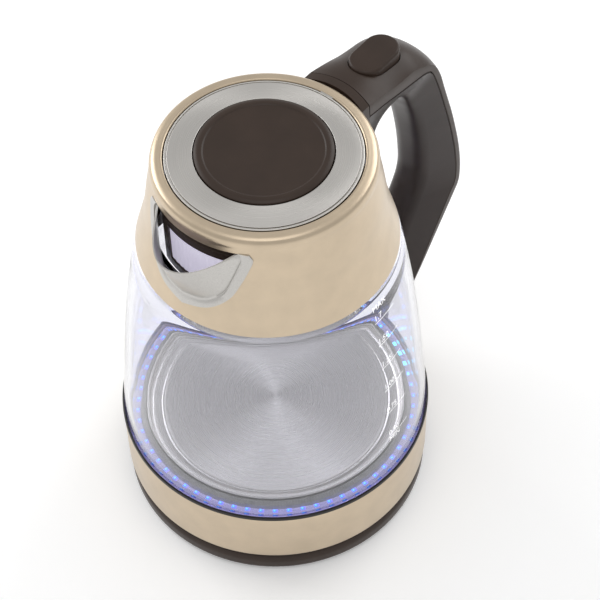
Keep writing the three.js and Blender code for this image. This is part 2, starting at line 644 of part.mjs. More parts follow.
function buildHandle() {
  const group = new THREE.Group();
  add(group, 'junction_piece', junctionPiece(), BROWN);
  add(group, 'handle_cover', handleCover(), BROWN);
  add(group, 'handle_grip', handleGrip(), GRIP_BROWN);
  add(group, 'release_button', releaseButton(), BROWN);
  add(group, 'latch_bolt', latchBolt(), STEEL);
  add(group, 'button_spring', coilSpring(2.3, 0.45, 12.6, 5).translate(73.5, 6.4, 210.4), STEEL);
  add(group, 'lid_spring', lidSpring(), STEEL);
  HANDLE_SCREWS.y.forEach((y, i) => {
    const piece = screw(2.9, 1.35, 2, 20).rotateY(Math.PI / 2).translate(49.7, y, HANDLE_SCREWS.z);
    add(group, `handle_screw_${i + 1}`, piece, STEEL);
  });
  const { z, head, shank, from } = FOOT_SCREW;
  add(group, 'foot_screw', screw(head, shank, 0.95, 6.8).rotateY(Math.PI / 2).translate(from, 0, z), STEEL);
  return group;
}

kettle.add(buildPowerBase(), buildKettleBase(), buildJug(), buildLid(), buildHandle());

export default kettle;
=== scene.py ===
import json
import math

import bmesh
import bpy
import numpy as np
from mathutils import Matrix, Vector


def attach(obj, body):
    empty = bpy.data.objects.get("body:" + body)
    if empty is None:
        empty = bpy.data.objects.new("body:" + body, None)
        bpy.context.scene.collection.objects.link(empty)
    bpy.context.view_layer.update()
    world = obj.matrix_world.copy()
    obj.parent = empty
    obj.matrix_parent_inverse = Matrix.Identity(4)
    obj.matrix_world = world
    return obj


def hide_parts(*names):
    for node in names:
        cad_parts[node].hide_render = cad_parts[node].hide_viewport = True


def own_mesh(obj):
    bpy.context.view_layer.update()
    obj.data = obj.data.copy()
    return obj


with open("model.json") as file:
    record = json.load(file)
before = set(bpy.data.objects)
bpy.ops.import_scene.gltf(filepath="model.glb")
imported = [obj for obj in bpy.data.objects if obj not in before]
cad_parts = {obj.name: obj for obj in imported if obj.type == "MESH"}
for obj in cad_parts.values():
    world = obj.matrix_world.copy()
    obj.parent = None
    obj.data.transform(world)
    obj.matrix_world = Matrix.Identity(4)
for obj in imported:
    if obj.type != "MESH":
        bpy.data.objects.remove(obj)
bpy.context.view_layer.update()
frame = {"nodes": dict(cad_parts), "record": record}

# ---- sizes, in millimetres in the row frame ----
MM = 0.001
STEPS = 192                       # facets round a large piece
FINE = 48                         # facets round a small piece
GAP = 0.35                        # between pieces that touch
WALL = 2.6                        # wall of the handle's shells

JUG_OUTSIDE = [
    (77.5, 52.0), (76.8, 64.8), (74.9, 84.0), (72.6, 106.4), (69.4, 132.0), (65.4, 157.6), (61.7, 175.5),
]
JUG_WALL = 3.0
COLLAR_OUTSIDE = [
    (61.4, 176.8), (56.2, 196), (53.7, 211), (51.5, 223), (51.3, 226.2), (50.9, 228.3), (50.1, 229.6),
    (48.8, 230.3), (47, 230.7), (45.6, 230.9), (45, 230.4),
]
COLLAR_INSIDE = [
    (60.3, 176.8), (55.1, 195.8), (52.6, 210.8), (50.4, 222.8), (50.2, 226), (49.6, 228), (48.4, 229.2),
    (46.8, 229.6), (45.5, 229.8), (45, 229.7),
]
SPOUT_SIDE = [(0, 184.8), (13, 188.6), (21.2, 196), (25.4, 206), (27.8, 214.5), (28.6, 219.2), (27, 222.3)]
SPOUT_HALF = 28.6
SPOUT_RIM = {"tip": 68.2, "tip_z": 216, "half": 23, "corner_z": 222, "depth": 22.2}
LIP_SHEET = 0.9
FILTER = {"inner": 48.4, "outer": 50.4, "low": 187, "high": 218.6, "half": 21, "bar": 4.6}

HANDLE_HALF = 16
FLARE = {"most": 0.08, "start": 53, "end": 88, "above": 150}
# side view of the handle: three lines from the collar to the foot, station by station
HANDLE_OUTER = [
    (46, 230.2), (56, 229.6), (66, 228.6), (80, 226.2), (92.4, 224.2), (101.8, 219.3), (109.2, 212),
    (115, 201.8), (119.1, 188), (122.9, 177), (127, 165), (131.9, 148), (135.6, 134), (138, 121),
    (139, 110), (138.4, 100.5), (134, 93), (120, 76.2), (105, 58.5), (86, 36), (66, 12),
]
HANDLE_SEAM = [
    (46, 222.5), (56, 219.5), (65.5, 217.8), (77.5, 215), (89.5, 212.5), (98.5, 210.8), (104.6, 207),
    (109, 197.6), (113.2, 186.5), (117, 175), (121, 162.8), (125.7, 146.4), (129, 132.5), (131, 120.5),
    (131.6, 110.8), (130.6, 104.8), (126.6, 99.2), (113.5, 79.5), (99.8, 59), (82, 37.6), (64, 16),
]
HANDLE_INNER = [
    (58, 168), (65.5, 179), (70.5, 190.5), (77.1, 196.2), (87, 196.6), (93, 192.8), (96.5, 187.5),
    (99, 181.5), (101.2, 175.8), (103.7, 168), (106.1, 158.5), (108.8, 144.5), (110.4, 131.5),
    (110.8, 122), (109.3, 115), (106.6, 109.5), (103.2, 103.5), (94.5, 88), (86.5, 70), (77.5, 52),
    (62, 32),
]

BUTTON = {"x": 79.8, "radius": 8.7, "straight": 10.5, "low": 223.4, "high": 229.8}
LID = {"disc": 31.2, "radius": 44.5, "top": 230.7, "disc_top": 233.3}
PRISMS = 66
LAMP_ANGLES = [-0.545 + k * math.tau / 3 for k in range(3)]
FOOT_PLACES = [(62, math.pi / 4 + k * math.pi / 2) for k in range(4)]
BASE_SCREWS = [(50, math.pi / 3 + k * math.tau / 3) for k in range(3)]
COVER_SCREWS = [(42, k * math.tau / 3) for k in range(3)]
SCALE_MARKS = [
    ("MIN", 73.6), ("0.50", 78.4), ("0.75", 96.4), ("1.00", 113.4), ("1.25", 129.8), ("1.50", 145.6),
    ("1.7", 160.6), ("MAX", 166.4),
]


# ---- outlines ----
def smooth(points, per=8):
    """Catmull-Rom curve through the points."""
    p = np.array(points, float)
    p = np.vstack([2 * p[0] - p[1], p, 2 * p[-1] - p[-2]])
    out = []
    for a, b, c, d in zip(p[:-3], p[1:-2], p[2:-1], p[3:]):
        for t in np.arange(per) / per:
            bend = (2 * a - 5 * b + 4 * c - d) * t**2 + (3 * b - a - 3 * c + d) * t**3
            out.append(0.5 * (2 * b + (c - a) * t + bend))
    out.append(p[-2])
    return [tuple(q) for q in out]


def eased(outline, closed=True, steps=4):
    """Rounds each (x, y, setback) corner of an outline; a corner without a setback stays sharp."""
    out = []
    count = len(outline)
    for i, corner in enumerate(outline):
        at = np.array(corner[:2], float)
        ends = not closed and i in (0, count - 1)
        if len(corner) < 3 or ends:
            out.append(tuple(at))
            continue
        before = np.array(outline[i - 1][:2], float) - at
        after = np.array(outline[(i + 1) % count][:2], float) - at
        a = at + before / np.linalg.norm(before) * corner[2]
        b = at + after / np.linalg.norm(after) * corner[2]
        for t in np.arange(steps + 1) / steps:
            out.append(tuple((1 - t) ** 2 * a + 2 * t * (1 - t) * at + t**2 * b))
    return out


# ---- meshes ----
def made(name, vertices, faces, sharp=38):
    """Object of a closed mesh given in millimetres, smooth except at edges sharper than the angle."""
    mesh = bpy.data.meshes.new(name)
    mesh.from_pydata([tuple(c * MM for c in v) for v in vertices], [], faces)
    work = bmesh.new()
    work.from_mesh(mesh)
    bmesh.ops.remove_doubles(work, verts=work.verts, dist=1e-7)
    bmesh.ops.recalc_face_normals(work, faces=work.faces)
    work.to_mesh(mesh)
    work.free()
    piece = bpy.data.objects.new(name, mesh)
    bpy.context.scene.collection.objects.link(piece)
    return shaded(piece, sharp)


def shaded(piece, sharp=38):
    mesh = piece.data
    mesh.polygons.foreach_set("use_smooth", [True] * len(mesh.polygons))
    mesh.set_sharp_from_angle(angle=math.radians(sharp))
    return piece


def turned(name, outline, steps=STEPS, ribs=(0, 0, 0), sharp=38):
    """Solid of revolution about Z. ribs = (count, lowest radius, height) raises fine radial ribs."""
    closed = outline[0][0] > 0
    line = eased(outline, closed)
    count = len(line)
    vertices = []
    for k in range(steps):
        angle = k * math.tau / steps
        for radius, z in line:
            lift = ribs[2] * 0.5 * (1 + math.cos(ribs[0] * angle)) if radius > ribs[1] else 0
            vertices.append((radius * math.cos(angle), radius * math.sin(angle), z + lift))
    faces = []
    for k in range(steps):
        nxt = (k + 1) % steps
        for i in range(count if closed else count - 1):
            j = (i + 1) % count
            ring = [k * count + i, nxt * count + i, nxt * count + j, k * count + j]
            if line[i][0] == 0:
                ring = [k * count + i, nxt * count + j, k * count + j]
            elif line[j][0] == 0:
                ring = [k * count + i, nxt * count + i, k * count + j]
            faces.append(ring)
    return made(name, vertices, faces, sharp)


def lofted(name, sections, sharp=38):
    """Shell through sections that are each an outer line followed by the inner line back."""
    ring = len(sections[0])
    half = ring // 2
    vertices = [point for section in sections for point in section]
    faces = []
    for k in range(len(sections) - 1):
        for i in range(ring):
            j = (i + 1) % ring
            faces.append([k * ring + i, k * ring + j, (k + 1) * ring + j, (k + 1) * ring + i])
    for start in (0, (len(sections) - 1) * ring):
        for i in range(half - 1):
            faces.append([start + i, start + i + 1, start + ring - 2 - i, start + ring - 1 - i])
    return made(name, vertices, faces, sharp)


def stacked(name, rings, sharp=38):
    """Solid through rings of points, closed by a flat face at both ends."""
    count = len(rings[0])
    vertices = [point for ring in rings for point in ring]
    faces = []
    for k in range(len(rings) - 1):
        for i in range(count):
            j = (i + 1) % count
            faces.append([k * count + i, k * count + j, (k + 1) * count + j, (k + 1) * count + i])
    faces.append(list(range(count)))
    faces.append([(len(rings) - 1) * count + i for i in range(count)])
    return made(name, vertices, faces, sharp)


def sector(name, outline, half, side, columns=28, sharp=38):
    """Part of a ring, between y = -half and half on one side of the axis."""
    line = eased(outline)
    rings = []
    for y in np.linspace(-half, half, columns):
        rings.append([(side * math.sqrt(max(radius**2 - y * y, 0)), y, z) for radius, z in line])
    return stacked(name, rings, sharp)


def slab(x, y, z):
    """Plain block used only to cut with."""
    corners = [[(a, b, c) for a, b in ((x[0], y[0]), (x[1], y[0]), (x[1], y[1]), (x[0], y[1]))] for c in z]
    return stacked("cutter", corners)


def cut(piece, *tools, how="DIFFERENCE", sharp=38):
    for tool in tools:
        change = piece.modifiers.new("cut", "BOOLEAN")
        change.operation = how
        change.solver = "EXACT"
        change.object = tool
        graph = bpy.context.evaluated_depsgraph_get()
        mesh = bpy.data.meshes.new_from_object(piece.evaluated_get(graph))
        piece.modifiers.clear()
        piece.data = mesh
        mesh.name = piece.name
        bpy.data.objects.remove(tool)
    return shaded(piece, sharp)


def moved(piece, matrix):
    piece.data.transform(matrix)
    return piece


def at_polar(place, z=0.0):
    radius, angle = place
    return Matrix.Translation((radius * math.cos(angle) * MM, radius * math.sin(angle) * MM, z * MM))


def along_x(y, z):
    return Matrix.Translation((0, y * MM, z * MM)) @ Matrix.Rotation(math.pi / 2, 4, "Y")


def placed(piece, body, material, slot, *nodes):
    piece.data.materials.clear()
    piece.data.materials.append(material)
    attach(piece, body)
    if nodes:
        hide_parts(*nodes)
    return piece


# ---- materials ----
def linear(red, green, blue):
    """Linear colour of an sRGB one given as 0 to 255."""
    parts = [c / 255 for c in (red, green, blue)]
    return tuple(c / 12.92 if c <= 0.04045 else ((c + 0.055) / 1.055) ** 2.4 for c in parts) + (1.0,)


class Look:
    """A Principled material and the few node chains that the looks here are made of."""

    def __init__(self, name, color, roughness, metallic=0.0, **sockets):
        self.material = bpy.data.materials.new(name)
        self.material.use_nodes = True
        self.tree = self.material.node_tree
        self.shader = self.tree.nodes["Principled BSDF"]
        self.set("Base Color", color)
        self.set("Roughness", roughness)
        self.set("Metallic", metallic)
        for socket, value in sockets.items():
            self.set(socket.replace("_", " "), value)
        self.height = None

    def set(self, socket, value):
        self.shader.inputs[socket].default_value = value

    def node(self, kind, **values):
        made_node = self.tree.nodes.new(kind)
        for key, value in values.items():
            if key in made_node.inputs:
                made_node.inputs[key].default_value = value
            else:
                setattr(made_node, key, value)
        return made_node

    def link(self, start, end):
        self.tree.links.new(start, end)

    def place(self):
        return self.node("ShaderNodeTexCoord").outputs["Object"]

    def radius(self):
        """Distance from the kettle's axis."""
        flat = self.node("ShaderNodeVectorMath", operation="MULTIPLY")
        flat.inputs[1].default_value = (1, 1, 0)
        self.link(self.place(), flat.inputs[0])
        length = self.node("ShaderNodeVectorMath", operation="LENGTH")
        self.link(flat.outputs[0], length.inputs[0])
        return length.outputs["Value"]

    def noise(self, scale, detail=2.0, stretch=None, vector=None):
        noise = self.node("ShaderNodeTexNoise", Scale=scale, Detail=detail)
        source = vector or self.place()
        if stretch:
            mapping = self.node("ShaderNodeMapping")
            mapping.inputs["Scale"].default_value = stretch
            self.link(source, mapping.inputs["Vector"])
            source = mapping.outputs[0]
        self.link(source, noise.inputs["Vector"])
        return noise.outputs["Fac"]

    def rings(self, scale, detail=3.0):
        """Noise that changes with the radius only, as the marks of turning or round brushing do."""
        noise = self.node("ShaderNodeTexNoise", noise_dimensions="1D", Scale=1.0, Detail=detail)
        scaled = self.node("ShaderNodeMath", operation="MULTIPLY")
        scaled.inputs[1].default_value = scale
        self.link(self.radius(), scaled.inputs[0])
        self.link(scaled.outputs[0], noise.inputs["W"])
        return noise.outputs["Fac"]

    def spread(self, value, low, high):
        ranged = self.node("ShaderNodeMapRange")
        ranged.inputs["To Min"].default_value = low
        ranged.inputs["To Max"].default_value = high
        self.link(value, ranged.inputs["Value"])
        return ranged.outputs["Result"]

    def blended(self, value, first, second, low=0.0, high=1.0):
        ramp = self.node("ShaderNodeValToRGB")
        ramp.color_ramp.elements[0].position = low
        ramp.color_ramp.elements[0].color = first
        ramp.color_ramp.elements[1].position = high
        ramp.color_ramp.elements[1].color = second
        self.link(value, ramp.inputs["Fac"])
        return ramp.outputs["Color"]

    def color(self, output):
        self.link(output, self.shader.inputs["Base Color"])
        return self

    def roughness(self, output):
        self.link(output, self.shader.inputs["Roughness"])
        return self

    def bump(self, value, strength, distance_mm):
        bump = self.node("ShaderNodeBump", Strength=strength, Distance=distance_mm * MM)
        self.link(value, bump.inputs["Height"])
        if self.height:
            self.link(self.height, bump.inputs["Normal"])
        self.height = bump.outputs["Normal"]
        self.link(self.height, self.shader.inputs["Normal"])
        return self

    def round_brushed(self):
        """Tangents that run round the kettle's axis, so highlights fan out from it."""
        tangent = self.node("ShaderNodeTangent", direction_type="RADIAL", axis="Z")
        self.link(tangent.outputs[0], self.shader.inputs["Tangent"])
        return self


def tinted(color, factor):
    return tuple(c * factor for c in color[:3]) + (1.0,)


def plastic(name, color, roughness, grain=0.12):
    """Moulded plastic: fine spark-eroded grain, cloudy gloss and faint colour variation."""
    look = Look(name, color, roughness, **{"IOR": 1.45, "Specular IOR Level": 0.3})
    cloud = look.noise(60, 4)
    look.color(look.blended(cloud, tinted(color, 0.9), tinted(color, 1.1), 0.3, 0.7))
    look.roughness(look.spread(look.noise(170, 5), roughness - 0.05, roughness + 0.07))
    look.bump(look.noise(2600, 3), grain, 0.03)
    return look.material


def gold_satin():
    """Champagne satin metal: very fine grain with soft brushing round the body."""
    color = linear(204, 187, 163)
    look = Look("gold_satin", color, 0.3, 1.0, Anisotropic=0.35)
    look.round_brushed()
    look.color(look.blended(look.noise(90, 4), tinted(color, 0.95), tinted(color, 1.04), 0.3, 0.7))
    look.roughness(look.spread(look.noise(900, 3), 0.27, 0.36))
    look.bump(look.noise(5200, 2), 0.1, 0.02)
    look.bump(look.noise(900, 2, (0.06, 0.06, 3.0)), 0.05, 0.02)
    return look.material


def round_brushed_steel(name, color, roughness, anisotropic, strength):
    look = Look(name, color, roughness, 1.0, Anisotropic=anisotropic)
    look.round_brushed()
    look.color(look.blended(look.rings(5200), tinted(color, 0.86), tinted(color, 1.08), 0.3, 0.7))
    look.roughness(look.spread(look.rings(2600), roughness - 0.05, roughness + 0.08))
    look.bump(look.rings(7000), strength, 0.012)
    return look.material


def brushed_steel(name="steel", color=(0.55, 0.535, 0.51, 1.0), roughness=0.3):
    look = Look(name, color, roughness, 1.0, Anisotropic=0.4)
    fine = look.noise(2200, 3, (0.08, 1.0, 1.0))
    look.color(look.blended(fine, tinted(color, 0.9), tinted(color, 1.06), 0.3, 0.7))
    look.roughness(look.spread(look.noise(400, 3), roughness - 0.04, roughness + 0.06))
    look.bump(fine, 0.06, 0.015)
    return look.material


def cast(name, color, roughness, metallic=1.0):
    look = Look(name, color, roughness, metallic)
    look.color(look.blended(look.noise(300, 4), tinted(color, 0.85), tinted(color, 1.1), 0.3, 0.7))
    look.bump(look.noise(1500, 4), 0.25, 0.05)
    return look.material


def clear_glass():
    color = (0.94, 0.945, 0.995, 1.0)
    look = Look("clear_glass", color, 0.0, 0.0, **{"Transmission Weight": 1.0, "IOR": 1.5})
    look.bump(look.noise(14, 2), 0.05, 0.6)
    return look.material


def soft_rubber(name, color, roughness):
    look = Look(name, color, roughness)
    look.color(look.blended(look.noise(240, 4), tinted(color, 0.85), tinted(color, 1.15), 0.3, 0.7))
    look.bump(look.noise(3000, 4), 0.2, 0.04)
    return look.material


def light_plastic():
    """Clear acrylic of the lit ring, faintly glowing lavender."""
    color = (0.86, 0.86, 0.97, 1.0)
    look = Look("light_plastic", color, 0.12, 0.0, **{"Transmission Weight": 0.75, "IOR": 1.49})
    look.set("Emission Color", (0.55, 0.5, 1.0, 1.0))
    look.set("Emission Strength", 0.18)
    look.bump(look.noise(500, 2), 0.1, 0.05)
    return look.material


def glow():
    """Light of the lamps in the ring's prisms: cyan in the middle, violet outside, strongest near a lamp."""
    look = Look("lamp_glow", (0.02, 0.05, 0.2, 1.0), 0.4)
    core = look.node("ShaderNodeAttribute", attribute_name="core")
    power = look.node("ShaderNodeAttribute", attribute_name="power")
    ramp = look.node("ShaderNodeValToRGB")
    ramp.color_ramp.elements[0].color = (0.30, 0.24, 1.0, 1.0)
    ramp.color_ramp.elements[1].color = (0.10, 0.62, 1.0, 1.0)
    middle = ramp.color_ramp.elements.new(0.55)
    middle.color = (0.08, 0.22, 1.0, 1.0)
    look.link(core.outputs["Fac"], ramp.inputs["Fac"])
    look.link(ramp.outputs["Color"], look.shader.inputs["Emission Color"])
    look.link(power.outputs["Fac"], look.shader.inputs["Emission Strength"])
    return look.material


def woven_mesh():
    """Fine nylon gauze: two crossed waves as threads, with a painted glow standing in for light coming
    through it.
    """
    look = Look("woven_mesh", (0.78, 0.76, 0.85, 1.0), 0.55, **{"Sheen Weight": 0.2})
    threads = []
    for axis in ((0, 1, 0), (0, 0, 1)):
        wave = look.node("ShaderNodeTexWave", wave_profile="SIN", Scale=1.0)
        wave.bands_direction = "Y" if axis[1] else "Z"
        scaled = look.node("ShaderNodeVectorMath", operation="MULTIPLY")
        scaled.inputs[1].default_value = (500, 500, 500)
        look.link(look.place(), scaled.inputs[0])
        look.link(scaled.outputs[0], wave.inputs["Vector"])
        threads.append(wave.outputs["Fac"])
    most = look.node("ShaderNodeMath", operation="MAXIMUM")
    look.link(threads[0], most.inputs[0])
    look.link(threads[1], most.inputs[1])
    look.color(look.blended(most.outputs[0], (0.42, 0.4, 0.5, 1.0), (0.86, 0.84, 0.92, 1.0), 0.35, 0.9))
    look.bump(most.outputs[0], 0.5, 0.15)
    # painted light: the gauze glows pale lavender, standing in for the light that passes through it
    look.set("Emission Color", (0.8, 0.76, 0.95, 1.0))
    look.set("Emission Strength", 0.5)
    return look.material


def print_white():
    look = Look("print_white", (0.93, 0.93, 0.95, 1.0), 0.45)
    # painted light: the white print glows, so it stays bright white where the glass around it is in shade
    look.set("Emission Color", (1.0, 1.0, 1.0, 1.0))
    look.set("Emission Strength", 0.5)
    look.bump(look.noise(2000, 2), 0.1, 0.02)
    return look.material


BROWN_COLOR = linear(56, 44, 37)
BROWN = plastic("brown_plastic", BROWN_COLOR, 0.34)
# the grip's own greyer brown, set darker than its real tone as painted shade standing in for the dark
# reflections on its rounded corners
GRIP_BROWN = plastic("grip_plastic", linear(52, 43, 40), 0.3, 0.15)
BLACK = plastic("black_plastic", (0.017, 0.015, 0.014, 1.0), 0.38)
GOLD = gold_satin()
LID_STEEL = round_brushed_steel("lid_steel", (0.62, 0.6, 0.57, 1.0), 0.28, 0.85, 0.25)
# heater steel is set lighter than the other steels: painted light that brightens the plate the collar and lid
# shade
HEATER_STEEL = round_brushed_steel("heater_steel", (0.8, 0.785, 0.77, 1.0), 0.27, 0.92, 0.12)
STEEL = brushed_steel()
BRASS = cast("brass", (0.62, 0.43, 0.19, 1.0), 0.3)
ALUMINIUM = cast("aluminium", (0.58, 0.59, 0.6, 1.0), 0.42)
CLEAR = clear_glass()
RUBBER = soft_rubber("rubber", (0.026, 0.024, 0.023, 1.0), 0.75)
SILICONE = soft_rubber("silicone", (0.36, 0.36, 0.37, 1.0), 0.5)
LIGHT_PLASTIC = light_plastic()
GLOW = glow()
MESH = woven_mesh()
PRINT = print_white()
BOARD = plastic("circuit_board", (0.04, 0.12, 0.06, 1.0), 0.4)

SLOT_LOOKS = {
    "brown_plastic": BROWN, "grip_plastic": GRIP_BROWN, "gold_metal": GOLD, "steel": STEEL,
    "heater_steel": HEATER_STEEL, "brass": BRASS, "aluminium": ALUMINIUM, "glass": CLEAR,
    "light_plastic": LIGHT_PLASTIC, "black_plastic": BLACK, "rubber": RUBBER, "silicone": SILICONE,
    "mesh": MESH, "lamp": GLOW, "board": BOARD,
}


def dress_cad_nodes():
    """Gives each CAD node that stays the look of its material slot."""
    for part in frame["record"]["subparts"]:
        node = frame["nodes"][part["node"]]
        node.data.materials.clear()
        node.data.materials.append(SLOT_LOOKS[part["material_slot"]])


# ---- power base ----
def power_base():
    shell = turned("base_shell", [
        (16.2, 8.2), (71, 8.2, 0.6), (71.8, 10.2, 0.4), (76, 10.2, 0.4), (76.2, 1.6, 0.2), (77.2, 1.6, 0.6),
        (78.1, 3.2, 0.9), (78.1, 8.6, 1.6), (76.6, 11.4, 1), (75.6, 12, 0.6), (73.6, 12, 0.6),
        (72.5, 10, 0.5), (18, 10, 0.3), (18, 12.5, 0.4), (16.2, 12.5, 0.3),
    ])
    hole = moved(turned("cutter", [(0, 74), (3.9, 74), (3.9, 82), (0, 82)], FINE), along_x(0, 6.3))
    placed(cut(shell, hole), "power_base", BROWN, "brown_plastic", "base_housing")
    cover = turned("base_underside", [
        (0, 0), (24, 0, 0.4), (25, 1.4, 0.4), (58, 1.4), (58.4, 1.0, 0.2), (66, 1.0, 0.2), (66.4, 1.4),
        (75.2, 1.4, 0.3), (75.8, 2, 0.3), (75.8, 3.2, 0.3), (0, 3.2),
    ])
    seats = [moved(turned("cutter", [(0, -1), (3.4, -1), (3.4, 2.3), (1.8, 2.3), (1.8, 4), (0, 4)], FINE),
                   at_polar(place)) for place in BASE_SCREWS]
    placed(cut(cover, *seats), "power_base", BLACK, "black_plastic", "base_bottom_cover")
    connector = turned("base_connector_tower", [
        (0, 6.6), (15.8, 6.6), (15.8, 11.6, 0.3), (13.5, 12.2, 0.3), (13.5, 23, 0.6), (12.7, 23.8, 0.4),
        (10.2, 23.8, 0.3), (10.2, 11), (6.6, 11), (6.6, 21, 0.4), (3.2, 21, 0.4), (3.2, 12), (0, 12),
    ], 96)
    placed(connector, "power_base", BLACK, "black_plastic", "base_connector")
    pin = turned("contact_pin_turned", [(0, 12.3), (2, 12.3), (2, 20, 0.9), (0, 20)], FINE)
    placed(pin, "power_base", BRASS, "brass", "contact_pin")
    for name, inner, outer in (("inner", 6.9, 7.5), ("outer", 9.3, 9.85)):
        outline = [(inner, 11.3), (outer, 11.3), (outer, 20, 0.2), (inner, 20, 0.2)]
        ring = turned(f"contact_band_{name}", outline, 96)
        placed(ring, "power_base", BRASS, "brass", f"contact_ring_{name}")
    bush = turned("cord_bush_turned", [
        (2.9, 75.9), (3.6, 75.9), (3.6, 78.45), (4.2, 78.45, 0.2), (4.2, 80, 0.5), (2.9, 80, 0.3),
    ], FINE)
    placed(moved(bush, along_x(0, 6.3)), "power_base", BLACK, "black_plastic", "cord_bush")
    for k, place in enumerate(FOOT_PLACES, 1):
        outline = [(0, 0.2), (3, 0.2), (4, 0), (6.2, 0, 0.3), (7, 0.5, 0.3), (7, 1.05), (0, 1.05)]
        foot = turned(f"foot_pad_{k}", outline,
                      FINE)
        placed(moved(foot, at_polar(place)), "power_base", RUBBER, "rubber", f"rubber_foot_{k}")
    for k, place in enumerate(BASE_SCREWS, 1):
        placed(moved(screw(f"base_screw_head_{k}", 3, 1.4, 0.7, 6.4), at_polar(place, 1.3)),
               "power_base", STEEL, "steel", f"base_screw_{k}")


def screw(name, head, shank, head_height, length):
    """Screw that stands up from its head at z = 0, with a cross recess in the head."""
    body = turned(name, [
        (0, 0), (head, 0, 0.3), (head, head_height, 0.2), (shank, head_height), (shank, length, 0.3),
        (0, length),
    ], FINE)
    depth = head_height * 0.7
    bars = [slab((-1.5, 1.5), (-0.32, 0.32), (-1, depth)), slab((-0.32, 0.32), (-1.5, 1.5), (-1, depth))]
    return cut(body, *bars)


# ---- kettle base ----
def lever_slot():
    return slab((71.2, 82), (-8.3, 8.3), (14, 26))


def kettle_base():
    socket = turned("socket_body", [
        (14.2, 13, 0.3), (18.5, 13, 0.4), (18.5, 27), (0, 27), (0, 25), (2.35, 25), (2.35, 14.5, 0.2),
        (2.9, 14.5, 0.2), (2.9, 25), (8, 25), (8, 13.5, 0.2), (8.8, 13.5, 0.2), (8.8, 25), (14.2, 25),
    ], 96)
    placed(socket, "socket", BLACK, "black_plastic", "kettle_socket")
    cover = turned("bottom_shell", [
        (19.2, 13.3, 0.3), (59.5, 13.3, 0.5), (60.5, 10.35, 0.5), (70.6, 10.35, 0.4), (70.8, 15.3, 0.3),
        (77.3, 15.3, 0.4), (77.3, 20), (75.7, 20), (75.7, 17), (69.2, 17), (69.2, 12.2), (61.8, 12.2),
        (60.2, 15), (19.2, 15),
    ])
    holes = [moved(turned("cutter", [(0, 12), (1.8, 12), (1.8, 16), (0, 16)], FINE), at_polar(place))
             for place in COVER_SCREWS]
    placed(cut(cover, lever_slot(), *holes), "kettle", BROWN, "brown_plastic", "bottom_cover")
    band = turned("band_shell", [
        (77.7, 15, 0.2), (78.4, 15, 0.2), (78.7, 16, 0.4), (78.7, 48.4, 0.4), (78.4, 48.9, 0.2),
        (77.9, 48.9),
    ], 256)
    placed(cut(band, lever_slot()), "kettle", GOLD, "gold_metal", "base_band")
    outline = [(77.7, 49.1), (78.9, 49.1, 0.2), (78.8, 51.2, 0.4), (77.95, 51.5, 0.2)]
    clamp = turned("clamp_band", outline, 256)
    placed(clamp, "kettle", BLACK, "black_plastic", "clamp_ring")
    for k, place in enumerate(COVER_SCREWS, 1):
        placed(moved(screw(f"cover_screw_head_{k}", 3, 1.45, 1.1, 12), at_polar(place, 11.8)),
               "kettle", STEEL, "steel", f"cover_screw_{k}")
    lever()


def lever():
    """Switch lever: a rocker with a rounded paddle."""
    side = eased([
        (52, 21.6, 0.8), (65, 19.4, 2), (72, 18.6, 1.5), (79, 16.9, 1.5), (91.5, 16.9, 1.2), (93, 18.6, 1),
        (91.5, 21, 1.2), (79, 21.2, 2), (72, 24.4, 2), (66, 25, 2), (52, 24, 0.8),
    ])
    rings = []
    for y, inset in ((-6.4, 0.7), (-6.2, 0.25), (-5.6, 0), (5.6, 0), (6.2, 0.25), (6.4, 0.7)):
        at, level = np.mean(side, axis=0)
        ring = [(x + (at - x) * inset / 20, y, z + np.sign(level - z) * inset * 0.5) for x, z in side]
        rings.append(ring)
    paddle = stacked("switch_paddle", rings)
    bore = moved(turned("cutter", [(0, -12), (1.8, -12), (1.8, 12), (0, 12)], FINE),
                 Matrix.Translation((68 * MM, 0, 22 * MM)) @ Matrix.Rotation(math.pi / 2, 4, "X"))
    placed(cut(paddle, bore), "switch", BROWN, "brown_plastic", "switch_lever")


def heater():
    plate = turned("heater_dish", [
        (0, 45), (61.5, 45, 2), (65.3, 46.2, 1), (66.3, 48.5, 1.2), (66.3, 52, 0.3), (65.4, 52, 0.3),
        (65.2, 48.9, 1.2), (64.3, 47, 1), (61.5, 46, 2), (59.2, 46), (58.6, 46.25, 0.3), (57.8, 46.25, 0.3),
        (57.2, 46), (0, 46),
    ], 256)
    placed(plate, "kettle", HEATER_STEEL, "heater_steel", "heater_plate")
    seal = turned("heater_gasket", [
        (66.8, 44.5), (69.4, 44.5), (69.4, 49.8, 0.3), (68.6, 50.4, 0.3), (67.6, 51, 0.3), (66.8, 51, 0.2),
    ], 1200, (300, 67.5, 0.22))
    placed(seal, "kettle", SILICONE, "silicone", "heater_seal")
    ring = turned("light_guide", [
        (69.8, 41.4), (74.2, 41.4), (74.2, 48, 0.3), (73.8, 48.4, 0.3), (70.2, 48.4, 0.3), (69.8, 48, 0.3),
    ], 256)
    placed(ring, "kettle", LIGHT_PLASTIC, "light_plastic", "light_ring")
    light_cells()


